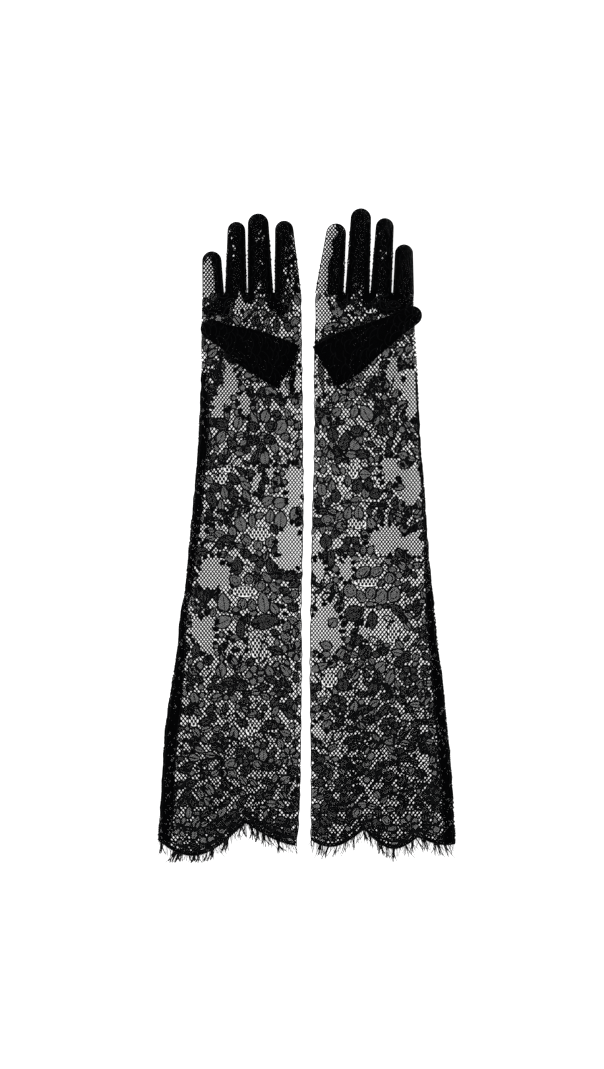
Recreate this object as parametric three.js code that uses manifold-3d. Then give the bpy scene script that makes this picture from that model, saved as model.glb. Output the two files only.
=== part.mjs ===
// A pair of opera-length lace gloves, lying flat side by side, palms up, thumbs folded over the palms.
// Millimetres. +X across the pair, +Y from hem to fingertips, +Z up from the surface that they lie on.
// Each glove is worked out in its own frame: x runs outwards from the line midway between the two gloves,
// so the index finger is on its inner side and the little finger, with the side seam, on its outer side.
import * as THREE from "three";
import Module from "manifold-3d";
import { mergeVertices } from "three/addons/utils/BufferGeometryUtils.js";

const wasm = await Module();
wasm.setup();

// ---------------------------------------------------------------- driving dimensions
const LACE = 0.6; // thickness of the lace with its raised outline cord
const CLEAR = 0.3; // clearance between pieces that are sewn to each other
const JOINT = 0.4; // gap where one stretch of a glove bends against the next
const LOFT = 9; // height of a glove as it lies, at the middle of the palm
const INNER_EDGE = 5.5; // from the midline of the pair to a glove's folded inner edge

const KNUCKLE_Y = 222; // where the fingers spring from the hand
const WRIST_Y = 95;
const ELBOW_Y = -140;
const WRIST_WIDTH = 94;
const HEM_WIDTH = 132;
const HEM_LEVEL = -280; // mean level of the scalloped hem, where HEM_WIDTH is measured

const FINGER_GAP = 0.8; // between neighbouring fingers at their roots
const EDGE_DROP = LOFT / 11.25; // how much lower a finger's palm strip lies at a fourchette than at its middle
const FORK_DEPTH = 4.5; // how far a fourchette is folded in from the finger's edge
const FORK_WALL = 1.2; // a fourchette's thickness, measured across its folded legs
const FORK_INSET = 0.5; // a fourchette's edge from the finger's edge
const FINGER_SLOT = 8; // clear width left between the folds at a finger's middle

const THUMB_ROOT_X = 16; // the crease where the thumb folds over, parallel to the inner edge
const THUMB_ROOT_Y = 150; // middle of that crease
const THUMB_ROOT_LENGTH = 54; // length of the crease
const THUMB_LOFT = 7.5; // height of the thumb above the palm
const THUMB_HOLE_WIDTH = 12; // the opening in the palm that the thumb passes through
const THUMB_HOLE_LENGTH = 42;
const THUMB_HOLE_EDGE = 2; // from the crease to the opening
const GORE_WIDTH = 5; // the crescent let in beside the thumb's crease

const SEAM_WIDTH = 8.5; // the lapped seam down the outer edge
const FRINGE_LENGTH = 8;
const FRINGE_THICK = 0.4;

// Widths are across the finger at its root and just under its tip.
const FINGERS = [
  { name: "index", rootWidth: 24.5, tipWidth: 17, forks: ["outer"] },
  { name: "middle", rootWidth: 22, tipWidth: 19.5, forks: ["inner", "outer"] },
  { name: "ring", rootWidth: 20.5, tipWidth: 16, forks: ["inner", "outer"] },
  { name: "little", rootWidth: 19.5, tipWidth: 16.5, forks: ["inner"] },
];

// How each glove lies: its fingers' lengths and lean, its thumb's tip, and where its hem's scallops meet.
const GLOVES = [
  {
    hand: "right",
    side: -1,
    lengths: [67, 73.6, 66.2, 38.6],
    leans: [2.4, 2.8, 0.6, 2.6],
    thumbTip: [87, 190],
    thumbMidWidth: 30,
    thumbTipWidth: 21,
    notches: [[-45, -267], [56, -267], [165, -267]],
    scallopDepth: 26,
  },
  {
    hand: "left",
    side: 1,
    lengths: [64, 78.2, 69.4, 45],
    leans: [7.2, 7.4, 8.6, 4.4],
    thumbTip: [96, 200],
    thumbMidWidth: 26,
    thumbTipWidth: 19,
    notches: [[-13, -267], [54, -271], [117, -279], [158, -276]],
    scallopDepth: 15.5,
  },
];

const SEAM_EDGE = 2 * LACE + CLEAR; // height of the palm lace where it is seamed to the back lace
const THUMB_BASE = LOFT + CLEAR; // underside of the thumb, lying on the palm
const THUMB_ROWS = 10; // rows of points along the thumb
const FINGER_ROWS = 8; // rows of points along a finger strip
const FORK_ROWS = 5; // rows of those that a fourchette runs up

// ---------------------------------------------------------------- materials
const finish = (color, roughness) =>
  new THREE.MeshStandardMaterial({ color, roughness, metalness: 0 });
const laceFinish = finish(0x16161a, 0.85);
const forkFinish = finish(0x0b0b0e, 0.9);
const seamFinish = finish(0x101014, 0.8);
const fringeFinish = finish(0x1c1c20, 0.7);

// ---------------------------------------------------------------- helpers
const { lerp, smoothstep } = THREE.MathUtils;
const sum = (values) => values.reduce((total, value) => total + value, 0);

// Turns a geometry's faces to point outwards, whichever way its mapping mirrored it.
function facingOut(geometry) {
  const position = geometry.attributes.position;
  const index = geometry.index;
  const [a, b, c] = [new THREE.Vector3(), new THREE.Vector3(), new THREE.Vector3()];
  let volume = 0;
  for (let i = 0; i < index.count; i += 3) {
    a.fromBufferAttribute(position, index.getX(i));
    b.fromBufferAttribute(position, index.getX(i + 1));
    c.fromBufferAttribute(position, index.getX(i + 2));
    volume += a.dot(b.cross(c));
  }
  if (volume < 0) {
    for (let i = 0; i < index.count; i += 3) {
      const second = index.getX(i + 1);
      index.setX(i + 1, index.getX(i + 2));
      index.setX(i + 2, second);
    }
  }
  return geometry;
}

// A sheet of cloth: a thin box whose points are moved to where place(u, v, w) says, each from 0 to 1,
// with u across the sheet, v along it and w through its thickness.
function sheetGeometry(side, across, along, place) {
  const geometry = new THREE.BoxGeometry(1, 1, 1, across, along, 1);
  const position = geometry.attributes.position;
  for (let i = 0; i < position.count; i++) {
    const [x, y, z] = place(
      position.getX(i) + 0.5,
      position.getY(i) + 0.5,
      position.getZ(i) + 0.5,
    );
    position.setXYZ(i, side * x, y, z);
  }
  return facingOut(geometry);
}

function solidOf(geometry) {
  const bare = geometry.clone();
  bare.deleteAttribute("normal");
  bare.deleteAttribute("uv");
  const merged = mergeVertices(bare, 1e-4);
  return new wasm.Manifold(
    new wasm.Mesh({
      numProp: 3,
      vertProperties: new Float32Array(merged.attributes.position.array),
      triVerts: new Uint32Array(merged.index.array),
    }),
  );
}

function cutFrom(geometry, tool) {
  const cut = solidOf(geometry).subtract(solidOf(tool)).getMesh();
  const result = new THREE.BufferGeometry();
  result.setAttribute("position", new THREE.BufferAttribute(cut.vertProperties, 3));
  result.setIndex(new THREE.BufferAttribute(cut.triVerts, 1));
  result.computeVertexNormals();
  return result;
}

const pair = new THREE.Group();
function add(name, geometry, material) {
  const mesh = new THREE.Mesh(geometry, material);
  mesh.name = name;
  pair.add(mesh);
}

// ---------------------------------------------------------------- the glove's outline
const KNUCKLE_WIDTH =
  sum(FINGERS.map((finger) => finger.rootWidth)) + (FINGERS.length - 1) * FINGER_GAP;

function widthAt(y) {
  return y > WRIST_Y
    ? lerp(WRIST_WIDTH, KNUCKLE_WIDTH, (y - WRIST_Y) / (KNUCKLE_Y - WRIST_Y))
    : lerp(WRIST_WIDTH, HEM_WIDTH, (WRIST_Y - y) / (WRIST_Y - HEM_LEVEL));
}
const middleAt = (y) => INNER_EDGE + widthAt(y) / 2;
// s runs from -1 at the inner edge to 1 at the outer edge.
const acrossAt = (s, y) => middleAt(y) + (s * widthAt(y)) / 2;
const shareAt = (x, y) => (x - middleAt(y)) / (widthAt(y) / 2);
// Upper surface of the palm lace: nearly level, and rolled down to the seam at both edges.
const palmTop = (s) => lerp(SEAM_EDGE, LOFT, 1 - Math.abs(s) ** 4);
// Divisions crowd towards both edges, where the lace bends most.
const crowded = (u) => Math.sin((u - 0.5) * Math.PI);

// Where the thumb folds over: level with the top of the gore beside it.
const creaseTop = palmTop(shareAt(THUMB_ROOT_X, THUMB_ROOT_Y)) + 2 * CLEAR + 2 * LACE;

// The scalloped hem: pointed notches with a round lobe hanging between each two.
function hemAt(x, glove) {
  const { notches, scallopDepth } = glove;
  const i = Math.max(0, notches.findLastIndex(([start], k) => start <= x && k < notches.length - 1));
  const [startX, startY] = notches[i];
  const [endX, endY] = notches[i + 1];
  const q = THREE.MathUtils.clamp((x - startX) / (endX - startX), 0, 1);
  return lerp(startY, endY, q) - scallopDepth * Math.sin(Math.PI * q) ** 0.8;
}

// ---------------------------------------------------------------- sleeve and hand
// The palm-side and back-side laces of one stretch, from bottom(x) up to y = top.
function stretch(glove, name, bottom, top, across, along) {
  const { side, hand } = glove;
  const spot = (u, v) => {
    const s = crowded(u);
    const low = bottom(acrossAt(s, top));
    const y = lerp(low, top, v);
    return [s, y];
  };
  const palm = sheetGeometry(side, across, along, (u, v, w) => {
    const [s, y] = spot(u, v);
    return [acrossAt(s, y), y, palmTop(s) - (1 - w) * LACE];
  });
  const back = sheetGeometry(side, across, along, (u, v, w) => {
    const [s, y] = spot(u, v);
    return [acrossAt(s, y), y, w * LACE];
  });
  add(`${hand}_${name}_back_lace`, back, laceFinish);
  return palm;
}

// The lapped seam: a strip of lace laid over the outer edge of the palm side.
function sideSeam(glove, name, bottom, top) {
  const geometry = sheetGeometry(glove.side, 4, 4, (u, v, w) => {
    const low = bottom(acrossAt(1, top));
    const y = lerp(low, top, v);
    const s = lerp(1 - SEAM_WIDTH / (widthAt(y) / 2), 1, u);
    return [acrossAt(s, y), y, palmTop(s) + CLEAR + w * LACE];
  });
  add(`${glove.hand}_${name}_side_seam`, geometry, seamFinish);
}

function fringe(glove, name, height) {
  const geometry = sheetGeometry(glove.side, 24, 1, (u, v, w) => {
    const s = crowded(u);
    const hem = hemAt(acrossAt(s, HEM_LEVEL), glove);
    const y = lerp(hem - FRINGE_LENGTH, hem - CLEAR, v);
    return [acrossAt(s, hem), y, height(s) + w * FRINGE_THICK];
  });
  add(`${glove.hand}_${name}_fringe`, geometry, fringeFinish);
}

function sleeve(glove) {
  const wristBottom = WRIST_Y - JOINT / 2;
  const elbowTop = ELBOW_Y + JOINT / 2;
  const elbowBottom = ELBOW_Y - JOINT / 2;
  const hem = (x) => hemAt(shareAt(x, elbowBottom) * (HEM_WIDTH / 2) + middleAt(HEM_LEVEL), glove);
  const forearm = stretch(glove, "forearm", () => elbowTop, wristBottom, 8, 2);
  add(`${glove.hand}_forearm_palm_lace`, forearm, laceFinish);
  sideSeam(glove, "forearm", () => elbowTop, wristBottom);
  const upper = stretch(glove, "upper_arm", hem, elbowBottom, 24, 2);
  add(`${glove.hand}_upper_arm_palm_lace`, upper, laceFinish);
  sideSeam(glove, "upper_arm", hem, elbowBottom);
  fringe(glove, "palm", (s) => palmTop(s) - LACE);
  fringe(glove, "back", () => 0);
}

function handBody(glove) {
  const bottom = WRIST_Y + JOINT / 2;
  const top = KNUCKLE_Y - JOINT / 2;
  const palm = stretch(glove, "hand", () => bottom, top, 10, 3);
  const hole = new THREE.CylinderGeometry(0.5, 0.5, 2 * LOFT, 20);
  hole.rotateX(Math.PI / 2);
  hole.scale(THUMB_HOLE_WIDTH, THUMB_HOLE_LENGTH, 1);
  const holeX = THUMB_ROOT_X + THUMB_HOLE_EDGE + THUMB_HOLE_WIDTH / 2;
  hole.translate(glove.side * holeX, THUMB_ROOT_Y, 1.5 * LOFT);
  add(`${glove.hand}_hand_palm_lace`, cutFrom(palm, hole), laceFinish);

  // The gore is a crescent let in beside the thumb's crease, on the inner side.
  const gore = sheetGeometry(glove.side, 2, 6, (u, v, w) => {
    const y = THUMB_ROOT_Y + (v - 0.5) * THUMB_ROOT_LENGTH;
    const width = 0.8 + GORE_WIDTH * Math.sin(Math.PI * v);
    const x = THUMB_ROOT_X - JOINT - (1 - u) * width;
    return [x, y, palmTop(shareAt(x, y)) + CLEAR + w * LACE];
  });
  add(`${glove.hand}_thumb_gore`, gore, seamFinish);
}

// ---------------------------------------------------------------- fingers
// Rows crowd towards the tip, where the outline turns.
const towardsTip = (v) => Math.sin((v * Math.PI) / 2);
const FORK_REACH = towardsTip(FORK_ROWS / FINGER_ROWS);

function fingerShape(glove, i) {
  const finger = FINGERS[i];
  const before = sum(FINGERS.slice(0, i).map((other) => other.rootWidth + FINGER_GAP));
  const rootX = INNER_EDGE + before + finger.rootWidth / 2;
  const length = glove.lengths[i];
  const tipRadius = finger.tipWidth / 2;
  const halfAt = (t) => {
    const straight = lerp(finger.rootWidth, finger.tipWidth, t) / 2;
    const fromTip = (1 - t) * length;
    const round = fromTip < tipRadius ? Math.sqrt(1 - (1 - fromTip / tipRadius) ** 2) : 1;
    return Math.max(straight * round, 1.5);
  };
  const centreAt = (t) => rootX + glove.leans[i] * t;
  const loftAt = (t) => lerp(SEAM_EDGE, LOFT, Math.sqrt(Math.max(0, 1 - t ** 6)));
  const edgeAt = (edge, t) => {
    const open = finger.forks.includes(edge) ? loftAt(t) - EDGE_DROP : SEAM_EDGE;
    return Math.max(SEAM_EDGE, lerp(open, SEAM_EDGE, smoothstep(t, FORK_REACH, 1)));
  };
  return { ...finger, rootX, length, halfAt, centreAt, loftAt, edgeAt };
}

function fingerStrips(glove, shape) {
  const root = KNUCKLE_Y + JOINT / 2;
  const palm = sheetGeometry(glove.side, 6, FINGER_ROWS, (u, v, w) => {
    const s = crowded(u);
    const t = towardsTip(v);
    const edge = shape.edgeAt(s < 0 ? "inner" : "outer", t);
    const top = lerp(edge, shape.loftAt(t), 1 - Math.abs(s) ** 4);
    return [shape.centreAt(t) + s * shape.halfAt(t), root + t * shape.length, top - (1 - w) * LACE];
  });
  const back = sheetGeometry(glove.side, 6, FINGER_ROWS, (u, v, w) => {
    const s = crowded(u);
    const t = towardsTip(v);
    return [shape.centreAt(t) + s * shape.halfAt(t), root + t * shape.length, w * LACE];
  });
  add(`${glove.hand}_${shape.name}_palm_strip`, palm, laceFinish);
  add(`${glove.hand}_${shape.name}_back_strip`, back, laceFinish);
}

// A fourchette is a strip down a finger's side, folded in along its middle as the glove lies flat.
const foldedIn = (u) => 1 - Math.abs(2 * u - 1);

function fourchette(glove, shape, edge) {
  const outwards = edge === "outer" ? 1 : -1;
  const root = KNUCKLE_Y + JOINT / 2;
  const geometry = sheetGeometry(glove.side, 2, FORK_ROWS, (u, v, w) => {
    const t = towardsTip((v * FORK_ROWS) / FINGER_ROWS);
    const room = shape.halfAt(t) - FINGER_SLOT / 2 - FORK_WALL - FORK_INSET;
    const fade = 1 - 0.7 * smoothstep(v, 0.7, 1);
    const depth = Math.min(FORK_DEPTH, room) * fade * foldedIn(u);
    const fromCentre = shape.halfAt(t) - FORK_INSET - depth - w * FORK_WALL;
    const topEdge = shape.edgeAt(edge, t) - LACE - CLEAR;
    const z = lerp(topEdge, LACE + CLEAR, u);
    return [shape.centreAt(t) + outwards * fromCentre, root + t * shape.length, z];
  });
  add(`${glove.hand}_${shape.name}_${edge}_fourchette`, geometry, forkFinish);
}

// The quirk closes the foot of the fork between two fingers, folded like the fourchettes that it joins.
function quirk(glove, lower, upper) {
  const forkX = lower.rootX + lower.rootWidth / 2 + FINGER_GAP / 2;
  const topEdge = LOFT - EDGE_DROP - LACE - CLEAR;
  const geometry = sheetGeometry(glove.side, 2, 8, (u, v, w) => {
    const around = v * Math.PI;
    const reach = FINGER_GAP / 2 + FORK_INSET + FORK_DEPTH * foldedIn(u) + w * FORK_WALL;
    const y = KNUCKLE_Y - JOINT / 2 - reach * Math.sin(around);
    return [forkX - reach * Math.cos(around), y, lerp(topEdge, LACE + CLEAR, u)];
  });
  add(`${glove.hand}_${lower.name}_${upper.name}_quirk`, geometry, forkFinish);
}

// ---------------------------------------------------------------- thumb
// The thumb folds over at its crease and lies across the palm, narrowing to its round tip.
function thumb(glove) {
  const [tipX, tipY] = glove.thumbTip;
  const root = new THREE.Vector2(THUMB_ROOT_X + JOINT / 2, THUMB_ROOT_Y);
  const tipRadius = glove.thumbTipWidth / 2;
  const axis = new THREE.Vector2(tipX, tipY).sub(root);
  const length = axis.length() + tipRadius;
  axis.normalize();
  const acrossTip = new THREE.Vector2(-axis.y, axis.x);
  const acrossRoot = new THREE.Vector2(0, 1);
  const halfAt = (t) => {
    const taper =
      t < 0.5
        ? lerp(THUMB_ROOT_LENGTH, glove.thumbMidWidth, smoothstep(t, 0, 0.5)) / 2
        : lerp(glove.thumbMidWidth, glove.thumbTipWidth, (t - 0.5) / 0.5) / 2;
    const fromTip = (1 - t) * length;
    const round = fromTip < tipRadius ? Math.sqrt(1 - (1 - fromTip / tipRadius) ** 2) : 1;
    return Math.max(taper * round, 1.5);
  };
  const spot = (s, t) => {
    const direction = acrossRoot.clone().lerp(acrossTip, smoothstep(t, 0, 0.6)).normalize();
    return root.clone().addScaledVector(axis, t * length).addScaledVector(direction, s * halfAt(t));
  };
  const loftAt = (t) => THUMB_BASE + lerp(SEAM_EDGE, THUMB_LOFT, Math.sqrt(Math.max(0, 1 - t ** 6)));
  const top = sheetGeometry(glove.side, 6, THUMB_ROWS, (u, v, w) => {
    const s = crowded(u);
    const t = towardsTip(v);
    const place = spot(s, t);
    const lying = lerp(THUMB_BASE + SEAM_EDGE, loftAt(t), 1 - Math.abs(s) ** 4);
    const height = lerp(creaseTop, lying, smoothstep(v, 0, 1 / THUMB_ROWS));
    return [place.x, place.y, height - (1 - w) * LACE];
  });
  // The side that lies on the palm starts past the opening that the thumb comes out of.
  const pastHole = (THUMB_HOLE_EDGE + THUMB_HOLE_WIDTH + 4) / (length * axis.x);
  const under = sheetGeometry(glove.side, 6, 8, (u, v, w) => {
    const s = crowded(u);
    const t = lerp(pastHole, 1, towardsTip(v));
    const place = spot(s, t);
    return [place.x, place.y, THUMB_BASE + w * LACE];
  });
  add(`${glove.hand}_thumb_outer_lace`, top, laceFinish);
  add(`${glove.hand}_thumb_inner_lace`, under, laceFinish);
}

// ---------------------------------------------------------------- the pair
for (const glove of GLOVES) {
  sleeve(glove);
  handBody(glove);
  const shapes = FINGERS.map((finger, i) => fingerShape(glove, i));
  for (const shape of shapes) {
    fingerStrips(glove, shape);
    shape.forks.forEach((edge) => fourchette(glove, shape, edge));
  }
  shapes.slice(1).forEach((shape, i) => quirk(glove, shapes[i], shape));
  thumb(glove);
}

export default pair;
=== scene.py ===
# %% [markdown]
# # A pair of opera-length gloves in black lace
# Lace isn't a cloth with a picture on it. It is thread: a fine diamond net, leaves and petals darned into
# the net with closer thread, and a thick glossy cord run round each of them. So nothing here is a sheet with
# holes painted on. Every thread is a thin closed tube that lies on the glove's own shape, and the holes
# between them are real holes, which look right from every side.

# %% Set-up: load the imported model as the fixed frame
import math
import random

import bmesh
import bpy
import numpy as np
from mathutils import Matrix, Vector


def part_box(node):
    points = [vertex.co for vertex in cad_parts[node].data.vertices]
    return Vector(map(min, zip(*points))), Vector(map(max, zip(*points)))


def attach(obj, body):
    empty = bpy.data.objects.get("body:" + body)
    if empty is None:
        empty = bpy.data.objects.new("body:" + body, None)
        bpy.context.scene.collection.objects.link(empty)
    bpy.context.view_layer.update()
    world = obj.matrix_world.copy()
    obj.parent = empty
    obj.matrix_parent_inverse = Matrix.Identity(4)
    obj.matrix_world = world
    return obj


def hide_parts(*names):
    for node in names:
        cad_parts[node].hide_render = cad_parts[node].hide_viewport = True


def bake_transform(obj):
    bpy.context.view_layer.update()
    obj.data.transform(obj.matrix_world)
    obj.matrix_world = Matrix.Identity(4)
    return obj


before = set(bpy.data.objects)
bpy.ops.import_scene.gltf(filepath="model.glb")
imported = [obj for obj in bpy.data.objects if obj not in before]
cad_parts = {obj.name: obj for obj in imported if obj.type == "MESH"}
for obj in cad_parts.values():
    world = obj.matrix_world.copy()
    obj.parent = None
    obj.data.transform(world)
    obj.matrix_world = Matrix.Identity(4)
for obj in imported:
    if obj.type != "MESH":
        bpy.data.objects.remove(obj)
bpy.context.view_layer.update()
METRE = 1000.0  # the scene is in metres, and everything below is worked out in millimetres


def box_mm(node):
    """Lowest and highest corner of a CAD node, in millimetres."""
    low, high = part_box(node)
    return np.array(low) * METRE, np.array(high) * METRE


# %% [markdown]
# ## Where the cloth lies
# Each glove is drawn flat in its own plan: x grows outwards from the line between the two gloves, so the
# index finger is on the inner side and the little finger on the outer side, and y grows from hem to
# fingertips. The right-hand glove's plan is mirrored when its threads are put in place. The levels and the
# places of the wrist, the knuckles and the elbow are read from the frame.

# %% The glove's levels and hinge lines, from the frame
HALF_LACE = 0.3  # half the thickness of the lace
HAND_LOW, HAND_HIGH = box_mm("left_hand_palm_lace")
FOREARM_LOW, FOREARM_HIGH = box_mm("left_forearm_palm_lace")
LOFT = HAND_HIGH[2] - HALF_LACE  # middle of the palm lace's thickness
EDGE = 1.2  # level of the palm lace where it meets the back lace
BACK = 0.35  # level of the back lace
WRIST = (HAND_LOW[1] + FOREARM_HIGH[1]) / 2
ELBOW = FOREARM_LOW[1] - 0.2
KNUCKLES = HAND_HIGH[1] + 0.2
SPLIT = -22.0  # halfway down the forearm, where one piece of lace hands over to the next
SIDES = {"right": -1.0, "left": 1.0}

# %% The outlines of the two gloves, in plan: (y, x) down the folded inner edge and the outer edge
INNER_EDGE = {
    "right": [
        (-300, 11.5), (-268, 8), (-234, 6.5), (-193, 6), (-110, 4.8), (-71, 5.6), (-25, 4.5), (25, 3.4),
        (125, 4.4), (190, 5.4), (235, 5.8),
    ],
    "left": [
        (-300, 3.6), (-216, 4), (-130, 2.8), (-73, 3.4), (19, 5), (60, 6.6), (100, 7.2), (150, 6.6),
        (202, 8.2), (235, 7.8),
    ],
}
OUTER_EDGE = {
    "right": [
        (-300, 140), (-275, 137.4), (-241, 134.4), (-212, 133), (-184, 131.4), (-139, 125),
        (-105, 119.6), (-70, 116.6), (-52, 112.8), (-8, 108.4), (33, 104.6), (87, 99.8), (147, 97.6),
        (235, 96),
    ],
    "left": [
        (-300, 137), (-279, 136.4), (-242, 134.8), (-184, 130.4), (-133, 125), (-105, 120.8),
        (-30, 113.4), (11, 110.2), (48, 107.6), (79, 105), (125, 102.6), (209, 98.6), (235, 97.6),
    ],
}


def along(points, y):
    """x at height y on a line of (y, x) points, with the small waves that a soft edge has."""
    ys, xs = zip(*points)
    y = np.asarray(y, float)
    return np.interp(y, ys, xs) + 0.35 * np.sin(y / 1.9 + xs[0]) + 0.3 * np.sin(y / 3.7 + xs[1])


# %% The scalloped hems: notches where the scallops meet, and how far each scallop hangs below them
HEM_NOTCHES = {
    "right": [(-45, -267), (56.5, -264), (152, -268)],
    "left": [(-12, -268), (52.5, -270), (102, -277), (160, -272)],
}
HEM_DROP = {"right": [20, 28], "left": [17, 14, 10]}
HEM_SIDES = -280  # the level at which the hem's two ends are found


def hem_level(hand, x):
    """The hem's lowest y at each x: round lobes hung between pointed notches."""
    x = np.atleast_1d(np.asarray(x, float))
    level = np.full(x.shape, -300.0)
    notches = HEM_NOTCHES[hand]
    for (x0, y0), (x1, y1), drop in zip(notches, notches[1:], HEM_DROP[hand]):
        q = (x - x0) / (x1 - x0)
        lobe = y0 + (y1 - y0) * q - drop * np.sin(np.pi * np.clip(q, 0, 1)) ** 1.05
        level = np.where((q >= 0) & (q <= 1), lobe, level)
    return level


# %% How high the lace lies
def arch(s):
    """1 at the middle of a flattened tube and 0 at its folded edges, where |s| is 1."""
    return 1 - np.clip(np.abs(s), 0, 1) ** 4


def smooth(t):
    t = np.clip(t, 0, 1)
    return t * t * (3 - 2 * t)


def sleeve_share(hand, points):
    """-1 at the inner edge, 1 at the outer edge."""
    x, y = points[:, 0], points[:, 1]
    inner, outer = along(INNER_EDGE[hand], y), along(OUTER_EDGE[hand], y)
    return (2 * x - inner - outer) / (outer - inner)


def sleeve_palm(hand):
    return lambda points: EDGE + (LOFT - EDGE) * arch(sleeve_share(hand, points))


def flat_back(points):
    return np.full(len(points), BACK)


# %% [markdown]
# ## The fingers and the thumb
# A finger is a tapering tube with a round tip, lying flat. It springs from its own stretch of the knuckle
# line and leans a little. The thumb is the same shape, but it folds over at a crease beside the index finger
# and lies across the palm, so it has a level of its own on top of the palm lace.

# %% Fingers: middle and width at the root, middle and width near the tip, and the level of the tip
FINGERS = {
    "right": {
        "index": (17.6, 23.6, 21.4, 15.2, 289.2), "middle": (42.7, 22.8, 45.2, 17.8, 295.8),
        "ring": (65.3, 19.4, 64.9, 15.2, 288.2), "little": (86.2, 19.2, 87.9, 16.4, 261.0),
    },
    "left": {
        "index": (20.6, 25.4, 27.8, 16.4, 286.6), "middle": (46.3, 21.6, 50.0, 17.6, 300.6),
        "ring": (68.0, 18.8, 72.0, 15.4, 291.6), "little": (88.7, 18.8, 89.4, 15.4, 267.4),
    },
}
# The side walls of each finger: which of its edges face another finger.
FORKS = {"index": (1,), "middle": (-1, 1), "ring": (-1, 1), "little": (-1,)}
# Thumb: the end of its tip, and its width halfway and near the tip
THUMBS = {"right": (96.5, 193.0, 34.0, 15.5), "left": (104.0, 206.0, 30.0, 15.5)}
THUMB_ROOT = (16.2, 154.0)
THUMB_ROOT_WIDTH = 48.0
THUMB_FLOOR = LOFT + 1.15  # clear of the palm lace's cords
THUMB_TOP = box_mm("left_thumb_outer_lace")[1][2] - HALF_LACE
CREASE_LEVEL = box_mm("left_thumb_outer_lace")[0][2] + HALF_LACE


class Finger:
    """A tapering tube with a round tip along a straight line, in plan."""

    def __init__(self, root, tip, widths, floor, top):
        self.root, self.floor, self.top = np.array(root, float), floor, top
        self.widths = widths  # (share of the length, width) pairs
        step = np.array(tip, float) - self.root
        self.length = float(np.hypot(*step))
        self.axis = step / self.length
        self.across = np.array([-self.axis[1], self.axis[0]])

    def half(self, t):
        shares, widths = zip(*self.widths)
        half = np.interp(t, shares, widths) / 2
        radius = widths[-1] / 2
        near = np.clip(1 - (1 - t) * self.length / radius, 0, 1)
        return half * np.sqrt(1 - near**2)

    def outline(self, steps=22):
        t = np.sin(np.linspace(0, np.pi / 2, steps))
        middle = self.root + np.outer(t * self.length, self.axis)
        reach = self.half(t)[:, None] * self.across
        return np.vstack([middle - reach, (middle + reach)[::-1][1:]])

    def place(self, points):
        """(share along, share across) of points in plan."""
        offset = points - self.root
        t = offset @ self.axis / self.length
        return t, offset @ self.across / np.maximum(self.half(t), 0.5)

    def upper(self, points):
        t, s = self.place(points)
        loft = np.sqrt(np.clip(1 - np.clip(t, 0, 1) ** 6, 0, 1))
        edge = self.floor + EDGE - BACK
        return edge + (self.top - edge) * loft * arch(s)

    def lower(self, points):
        return np.full(len(points), self.floor)


def make_finger(hand, name):
    x0, w0, x1, w1, top = FINGERS[hand][name]
    return Finger((x0, KNUCKLES), (x1, top), [(0, w0), (1, w1)], BACK, LOFT)


class Thumb(Finger):
    """The thumb rises from its crease, lies across the palm and narrows to its tip."""

    def upper(self, points):
        t, _ = self.place(points)
        rise = smooth(t / 0.14)
        return CREASE_LEVEL + (super().upper(points) - CREASE_LEVEL) * rise


def make_thumb(hand):
    x, y, middle, tip = THUMBS[hand]
    widths = [(0, 44), (0.25, 41), (0.5, middle), (0.74, tip * 1.35), (1, tip)]
    return Thumb(THUMB_ROOT, (x, y), widths, THUMB_FLOOR, THUMB_TOP)


# %% [markdown]
# ## Threads
# Every thread and cord is a curve that sweeps a small section along itself, and the tube's ends are then
# closed. A thread's section is a flat triangle, and a cord's is a diamond, which stands up more. All the
# strands of one piece of lace become one mesh, because that is how the lace is: one cloth.

# %% Collect a piece's strands, then let curves make the tubes
# Across and up, for a strand of radius 1: a thread is pressed flat, and a cord stands up more.
SECTIONS = {
    "thread": [(-1, -0.3), (1, -0.3), (0, 0.45)],
    "cord": [(-1, 0), (0, -0.5), (1, 0), (0, 0.6)],
}


class Work:
    """The strands of one piece of lace."""

    def __init__(self, side):
        self.side = side
        self.strands = {kind: [] for kind in SECTIONS}
        self.triangles = 0
        self.cloth = 0.0  # flat area of the lace in this piece, in square millimetres
        self.flat = (0.0, 0.0)  # width and length of the cut that it is made from

    def strand(self, points, radius, kind="thread"):
        points = np.asarray(points, float)
        loop = len(points) > 3 and np.allclose(points[0], points[-1])
        self.strands[kind].append((points[:-1] if loop else points, radius, loop))


def section_curve(kind):
    """The section that a curve sweeps along its strands, 1 mm in radius."""
    curve = bpy.data.curves.new(kind, "CURVE")
    spline = curve.splines.new("POLY")
    spline.points.add(len(SECTIONS[kind]) - 1)
    for point, (across, up) in zip(spline.points, SECTIONS[kind]):
        point.co = (across / METRE, up / METRE, 0, 1)
    spline.use_cyclic_u = True
    section = bpy.data.objects.new(kind, curve)
    bpy.context.scene.collection.objects.link(section)
    return section


def swept(strands, kind, side):
    """The tubes of some strands, as a mesh."""
    curve = bpy.data.curves.new("strands", "CURVE")
    curve.dimensions, curve.twist_mode = "3D", "Z_UP"
    curve.bevel_mode, curve.bevel_object = "OBJECT", section_curve(kind)
    for points, radius, loop in strands:
        spline = curve.splines.new("POLY")
        spline.points.add(len(points) - 1)
        place = np.ones((len(points), 4))
        place[:, :3] = points / METRE
        place[:, 0] *= side
        spline.points.foreach_set("co", place.ravel())
        spline.points.foreach_set("radius", np.broadcast_to(np.asarray(radius, float), len(points)))
        spline.use_cyclic_u = loop
    holder = bpy.data.objects.new("strands", curve)
    bpy.context.scene.collection.objects.link(holder)
    mesh = bpy.data.meshes.new_from_object(holder.evaluated_get(bpy.context.evaluated_depsgraph_get()))
    for leftover in (holder, curve.bevel_object):
        bpy.data.objects.remove(leftover)
    bpy.data.curves.remove(curve)
    return mesh


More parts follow.
